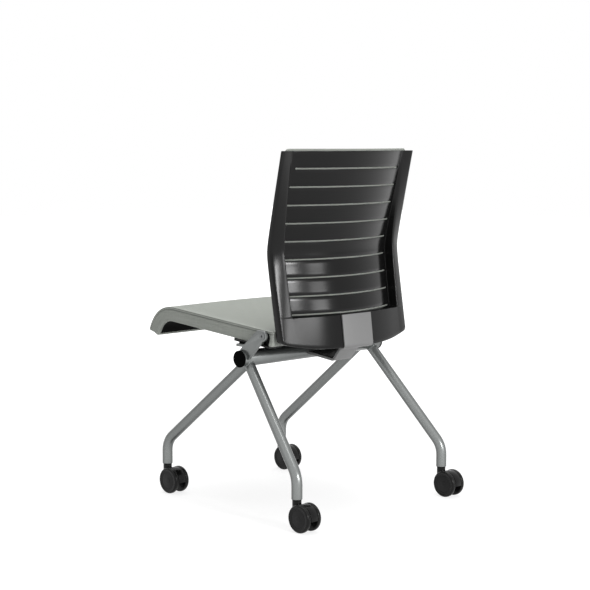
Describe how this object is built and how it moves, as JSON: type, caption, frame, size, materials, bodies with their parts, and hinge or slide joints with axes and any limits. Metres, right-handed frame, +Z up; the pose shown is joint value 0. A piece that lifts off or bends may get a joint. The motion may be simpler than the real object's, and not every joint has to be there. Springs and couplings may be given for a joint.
{
  "type": "nesting chair",
  "caption": "Armless nesting chair on twin-wheel casters, with a slotted back that holds a pad and a padded seat that flips up on a rear pivot.",
  "frame": {"origin": "on the floor, in the middle of the chair's outer box", "axes": "+Z up, the chair faces -Y, +X is the sitter's left"},
  "size_m": [0.5474, 0.5984, 0.8442],
  "materials": {
    "silver_paint": "smooth metallic silver paint, semi-gloss",
    "bar_paint": "smooth metallic silver paint, satin",
    "black_paint": "black powder coat on steel",
    "black_plastic": "black moulded plastic, satin with a fine grain",
    "wheel_plastic": "black nylon with a glossy rim",
    "black_rubber": "matte black rubber",
    "seat_fabric": "light grey woven upholstery",
    "zinc_steel": "zinc-plated steel"
  },
  "bodies": {
    "frame": {"cross_tube": "silver_paint", "tube_cap_left": "black_rubber", "tube_cap_right": "black_rubber", "front_leg_left": "silver_paint", "front_leg_right": "silver_paint", "rear_leg_left": "silver_paint", "rear_leg_right": "silver_paint", "side_plate_left": "silver_paint", "side_plate_right": "silver_paint", "stop_bumper_left": "black_rubber", "stop_bumper_right": "black_rubber", "pivot_screw_left": "zinc_steel", "pivot_screw_right": "zinc_steel", "pivot_washer_left": "black_plastic", "pivot_washer_right": "black_plastic", "pivot_nut_left": "zinc_steel", "pivot_nut_right": "zinc_steel", "back_bar": "bar_paint", "back_bar_block": "black_plastic", "back_shell": "black_plastic", "back_pad": "seat_fabric", "back_screw_1": "zinc_steel", "back_screw_2": "zinc_steel", "back_screw_3": "zinc_steel", "back_screw_4": "zinc_steel", "caster_socket_front_left": "black_plastic", "caster_socket_front_right": "black_plastic", "caster_socket_rear_left": "black_plastic", "caster_socket_rear_right": "black_plastic"},
    "seat": {"seat_cushion": "seat_fabric", "seat_pan": "black_plastic", "seat_bracket_left": "black_paint", "seat_bracket_right": "black_paint", "bracket_screw_front_left": "zinc_steel", "bracket_screw_front_right": "zinc_steel", "bracket_screw_rear_left": "zinc_steel", "bracket_screw_rear_right": "zinc_steel"},
    "caster_front_left": {"caster_hood_front_left": "black_plastic", "caster_stem_front_left": "zinc_steel", "caster_axle_front_left": "zinc_steel"},
    "caster_front_right": {"caster_hood_front_right": "black_plastic", "caster_stem_front_right": "zinc_steel", "caster_axle_front_right": "zinc_steel"},
    "caster_rear_left": {"caster_hood_rear_left": "black_plastic", "caster_stem_rear_left": "zinc_steel", "caster_axle_rear_left": "zinc_steel"},
    "caster_rear_right": {"caster_hood_rear_right": "black_plastic", "caster_stem_rear_right": "zinc_steel", "caster_axle_rear_right": "zinc_steel"},
    "wheel_front_left_a": {"wheel_front_left_a": "wheel_plastic"},
    "wheel_front_left_b": {"wheel_front_left_b": "wheel_plastic"},
    "wheel_front_right_a": {"wheel_front_right_a": "wheel_plastic"},
    "wheel_front_right_b": {"wheel_front_right_b": "wheel_plastic"},
    "wheel_rear_left_a": {"wheel_rear_left_a": "wheel_plastic"},
    "wheel_rear_left_b": {"wheel_rear_left_b": "wheel_plastic"},
    "wheel_rear_right_a": {"wheel_rear_right_a": "wheel_plastic"},
    "wheel_rear_right_b": {"wheel_rear_right_b": "wheel_plastic"}
  },
  "joints": [
    {"name": "seat_flip", "type": "hinge", "parent": "frame", "child": "seat", "pos_m": [0, 0.11065, 0.4203], "axis": [-1, 0, 0], "range_deg": [0, 70]},
    {"name": "swivel_front_left", "type": "hinge", "parent": "frame", "child": "caster_front_left", "pos_m": [0.1978, -0.25845, 0.06], "axis": [0, 0, 1], "continuous": true},
    {"name": "swivel_front_right", "type": "hinge", "parent": "frame", "child": "caster_front_right", "pos_m": [-0.1978, -0.25845, 0.06], "axis": [0, 0, 1], "continuous": true},
    {"name": "swivel_rear_left", "type": "hinge", "parent": "frame", "child": "caster_rear_left", "pos_m": [0.2512, 0.24315, 0.06], "axis": [0, 0, 1], "continuous": true},
    {"name": "swivel_rear_right", "type": "hinge", "parent": "frame", "child": "caster_rear_right", "pos_m": [-0.2512, 0.24315, 0.06], "axis": [0, 0, 1], "continuous": true},
    {"name": "roll_front_left_a", "type": "hinge", "parent": "caster_front_left", "child": "wheel_front_left_a", "pos_m": [0.1978, -0.23415, 0.03175], "axis": [1, 0, 0], "continuous": true},
    {"name": "roll_front_left_b", "type": "hinge", "parent": "caster_front_left", "child": "wheel_front_left_b", "pos_m": [0.1978, -0.23415, 0.03175], "axis": [1, 0, 0], "continuous": true},
    {"name": "roll_front_right_a", "type": "hinge", "parent": "caster_front_right", "child": "wheel_front_right_a", "pos_m": [-0.1978, -0.23415, 0.03175], "axis": [1, 0, 0], "continuous": true},
    {"name": "roll_front_right_b", "type": "hinge", "parent": "caster_front_right", "child": "wheel_front_right_b", "pos_m": [-0.1978, -0.23415, 0.03175], "axis": [1, 0, 0], "continuous": true},
    {"name": "roll_rear_left_a", "type": "hinge", "parent": "caster_rear_left", "child": "wheel_rear_left_a", "pos_m": [0.2512, 0.26745, 0.03175], "axis": [1, 0, 0], "continuous": true},
    {"name": "roll_rear_left_b", "type": "hinge", "parent": "caster_rear_left", "child": "wheel_rear_left_b", "pos_m": [0.2512, 0.26745, 0.03175], "axis": [1, 0, 0], "continuous": true},
    {"name": "roll_rear_right_a", "type": "hinge", "parent": "caster_rear_right", "child": "wheel_rear_right_a", "pos_m": [-0.2512, 0.26745, 0.03175], "axis": [1, 0, 0], "continuous": true},
    {"name": "roll_rear_right_b", "type": "hinge", "parent": "caster_rear_right", "child": "wheel_rear_right_b", "pos_m": [-0.2512, 0.26745, 0.03175], "axis": [1, 0, 0], "continuous": true}
  ]
}
